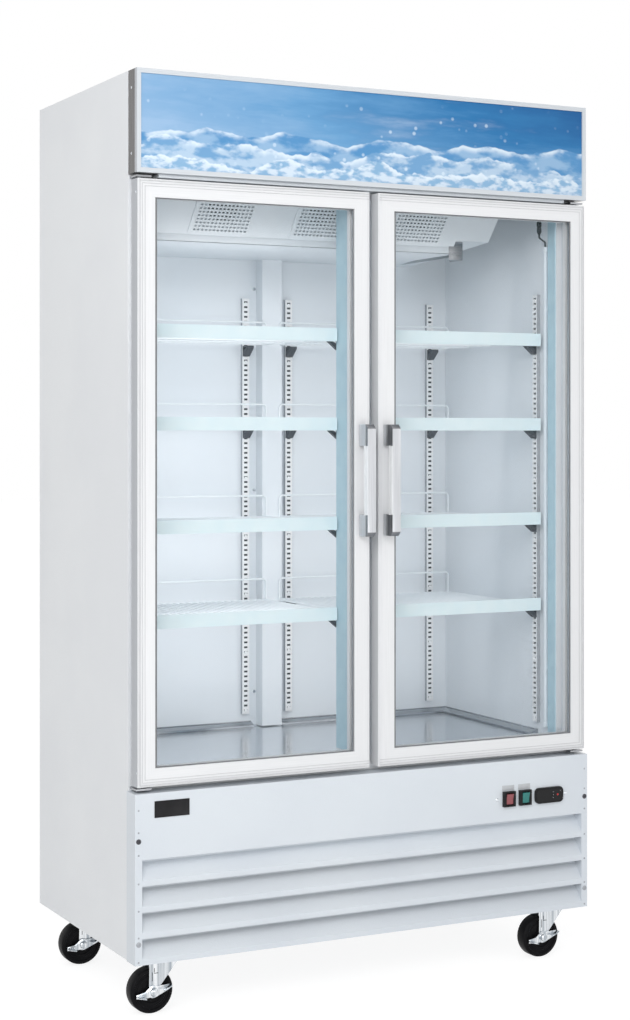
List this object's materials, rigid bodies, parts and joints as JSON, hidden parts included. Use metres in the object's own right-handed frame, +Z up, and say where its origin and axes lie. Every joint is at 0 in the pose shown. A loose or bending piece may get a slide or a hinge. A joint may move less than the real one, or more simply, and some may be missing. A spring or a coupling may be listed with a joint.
{
  "type": "display freezer",
  "caption": "Upright glass-door display freezer with a lit header, wire shelves, a louvred base and braked swivel casters.",
  "frame": {"origin": "on the floor, at the middle of the footprint", "axes": "+Z up, +X to the right as seen from the front, +Y towards the back"},
  "size_m": [1.202, 0.696, 2.1],
  "materials": {
    "side_paint": "semi-gloss light grey powder coat",
    "base_paint": "semi-gloss pale blue-grey powder coat",
    "galvanised": "galvanised sheet",
    "foam": "rigid foam",
    "liner": "glossy white liner",
    "stainless": "polished stainless",
    "face_paint": "satin grey-blue",
    "trim": "pale cyan translucent plastic",
    "door_aluminium": "satin white aluminium",
    "pane_glass": "clear tempered glass",
    "spacer": "matt",
    "gasket": "soft grey seal",
    "handle": "satin silver",
    "hinge": "dark satin",
    "header_steel": "polished steel",
    "header_print": "backlit printed panel",
    "lamp": "white lamp tube",
    "black_rubber": "black sheath",
    "zinc": "bright zinc",
    "wire_coat": "white coated wire",
    "clip_plastic": "dark grey",
    "rail_plastic": "pale label rail",
    "cover_white": "white powder coat",
    "coil": "fins",
    "fan_plastic": "black",
    "motor": "dark grey",
    "compressor_black": "black gloss",
    "control_black": "black",
    "red": "translucent red",
    "green": "translucent green",
    "wheel_rubber": "black wheel"
  },
  "bodies": {
    "cabinet": {"base_deck": "galvanised", "caster_plates": "zinc", "centre_mullion": "face_paint", "compressor": "compressor_black", "condenser_coil": "coil", "condenser_shroud": "motor", "controller": "control_black", "evaporator_coil": "coil", "evaporator_cover": "cover_white", "face_frame": "face_paint", "fan_motors": "motor", "floor_pan": "stainless", "foam_insulation": "foam", "header_frame": "door_aluminium", "header_housing": "header_steel", "header_panel": "header_print", "hinge_brackets": "hinge", "jamb_trims": "trim", "lamp_leads": "black_rubber", "lamp_tubes": "lamp", "left_shelves": "wire_coat", "left_side_panel": "side_paint", "liner_walls": "liner", "louvre_panel": "base_paint", "price_rails": "rail_plastic", "rear_panel": "galvanised", "right_shelves": "wire_coat", "right_side_panel": "side_paint", "shelf_clips": "clip_plastic", "shelf_standards": "zinc", "switch_housings": "control_black", "top_panel": "side_paint"},
    "left_door": {"left_door_frame": "door_aluminium", "left_door_glass": "pane_glass", "left_door_spacer": "spacer", "left_door_gasket": "gasket", "left_door_handle": "handle"},
    "right_door": {"right_door_frame": "door_aluminium", "right_door_glass": "pane_glass", "right_door_spacer": "spacer", "right_door_gasket": "gasket", "right_door_handle": "handle"},
    "power_rocker": {"power_rocker": "red"},
    "light_rocker": {"light_rocker": "green"},
    "evaporator_fan_1": {"evaporator_fan_1": "fan_plastic"},
    "evaporator_fan_2": {"evaporator_fan_2": "fan_plastic"},
    "evaporator_fan_3": {"evaporator_fan_3": "fan_plastic"},
    "condenser_fan": {"condenser_fan": "fan_plastic"},
    "caster_fork_front_left": {"caster_fork_front_left": "zinc"},
    "caster_wheel_front_left": {"caster_wheel_front_left": "wheel_rubber"},
    "caster_pedal_front_left": {"caster_pedal_front_left": "zinc"},
    "caster_fork_rear_left": {"caster_fork_rear_left": "zinc"},
    "caster_wheel_rear_left": {"caster_wheel_rear_left": "wheel_rubber"},
    "caster_pedal_rear_left": {"caster_pedal_rear_left": "zinc"},
    "caster_fork_front_right": {"caster_fork_front_right": "zinc"},
    "caster_wheel_front_right": {"caster_wheel_front_right": "wheel_rubber"},
    "caster_pedal_front_right": {"caster_pedal_front_right": "zinc"},
    "caster_fork_rear_right": {"caster_fork_rear_right": "zinc"},
    "caster_wheel_rear_right": {"caster_wheel_rear_right": "wheel_rubber"},
    "caster_pedal_rear_right": {"caster_pedal_rear_right": "zinc"}
  },
  "joints": [
    {"name": "left_door_hinge", "type": "hinge", "parent": "cabinet", "child": "left_door", "pos_m": [-0.58, -0.276, 1.18425], "axis": [0, 0, -1], "range_deg": [0, 110]},
    {"name": "right_door_hinge", "type": "hinge", "parent": "cabinet", "child": "right_door", "pos_m": [0.58, -0.276, 1.18425], "axis": [0, 0, 1], "range_deg": [0, 110]},
    {"name": "power_rocker_tilt", "type": "hinge", "parent": "cabinet", "child": "power_rocker", "pos_m": [0.3695, -0.304, 0.4065], "axis": [-1, 0, 0], "range_deg": [0, 20]},
    {"name": "light_rocker_tilt", "type": "hinge", "parent": "cabinet", "child": "light_rocker", "pos_m": [0.4155, -0.304, 0.4065], "axis": [-1, 0, 0], "range_deg": [0, 20]},
    {"name": "evaporator_fan_1_spin", "type": "hinge", "parent": "cabinet", "child": "evaporator_fan_1", "pos_m": [-0.312, -0.12388, 1.83868], "axis": [0, 0.7578, 0.6525], "continuous": true},
    {"name": "evaporator_fan_2_spin", "type": "hinge", "parent": "cabinet", "child": "evaporator_fan_2", "pos_m": [-0.049, -0.12388, 1.83868], "axis": [0, 0.7578, 0.6525], "continuous": true},
    {"name": "evaporator_fan_3_spin", "type": "hinge", "parent": "cabinet", "child": "evaporator_fan_3", "pos_m": [0.214, -0.12388, 1.83868], "axis": [0, 0.7578, 0.6525], "continuous": true},
    {"name": "condenser_fan_spin", "type": "hinge", "parent": "cabinet", "child": "condenser_fan", "pos_m": [0.19, -0.114, 0.277], "axis": [0, 1, 0], "continuous": true},
    {"name": "swivel_front_left", "type": "hinge", "parent": "cabinet", "child": "caster_fork_front_left", "pos_m": [-0.517, -0.251, 0.13], "axis": [0, 0, 1], "continuous": true},
    {"name": "roll_front_left", "type": "hinge", "parent": "caster_fork_front_left", "child": "caster_wheel_front_left", "pos_m": [-0.547, -0.251, 0.051], "axis": [0, 1, 0], "continuous": true},
    {"name": "brake_front_left", "type": "hinge", "parent": "caster_fork_front_left", "child": "caster_pedal_front_left", "pos_m": [-0.547, -0.251, 0.051], "axis": [0, 1, 0], "range_deg": [0, 15]},
    {"name": "swivel_rear_left", "type": "hinge", "parent": "cabinet", "child": "caster_fork_rear_left", "pos_m": [-0.517, 0.199, 0.13], "axis": [0, 0, 1], "continuous": true},
    {"name": "roll_rear_left", "type": "hinge", "parent": "caster_fork_rear_left", "child": "caster_wheel_rear_left", "pos_m": [-0.547, 0.199, 0.051], "axis": [0, 1, 0], "continuous": true},
    {"name": "brake_rear_left", "type": "hinge", "parent": "caster_fork_rear_left", "child": "caster_pedal_rear_left", "pos_m": [-0.547, 0.199, 0.051], "axis": [0, 1, 0], "range_deg": [0, 15]},
    {"name": "swivel_front_right", "type": "hinge", "parent": "cabinet", "child": "caster_fork_front_right", "pos_m": [0.517, -0.251, 0.13], "axis": [0, 0, 1], "continuous": true},
    {"name": "roll_front_right", "type": "hinge", "parent": "caster_fork_front_right", "child": "caster_wheel_front_right", "pos_m": [0.487, -0.251, 0.051], "axis": [0, 1, 0], "continuous": true},
    {"name": "brake_front_right", "type": "hinge", "parent": "caster_fork_front_right", "child": "caster_pedal_front_right", "pos_m": [0.487, -0.251, 0.051], "axis": [0, 1, 0], "range_deg": [0, 15]},
    {"name": "swivel_rear_right", "type": "hinge", "parent": "cabinet", "child": "caster_fork_rear_right", "pos_m": [0.517, 0.199, 0.13], "axis": [0, 0, 1], "continuous": true},
    {"name": "roll_rear_right", "type": "hinge", "parent": "caster_fork_rear_right", "child": "caster_wheel_rear_right", "pos_m": [0.487, 0.199, 0.051], "axis": [0, 1, 0], "continuous": true},
    {"name": "brake_rear_right", "type": "hinge", "parent": "caster_fork_rear_right", "child": "caster_pedal_rear_right", "pos_m": [0.487, 0.199, 0.051], "axis": [0, 1, 0], "range_deg": [0, 15]}
  ]
}
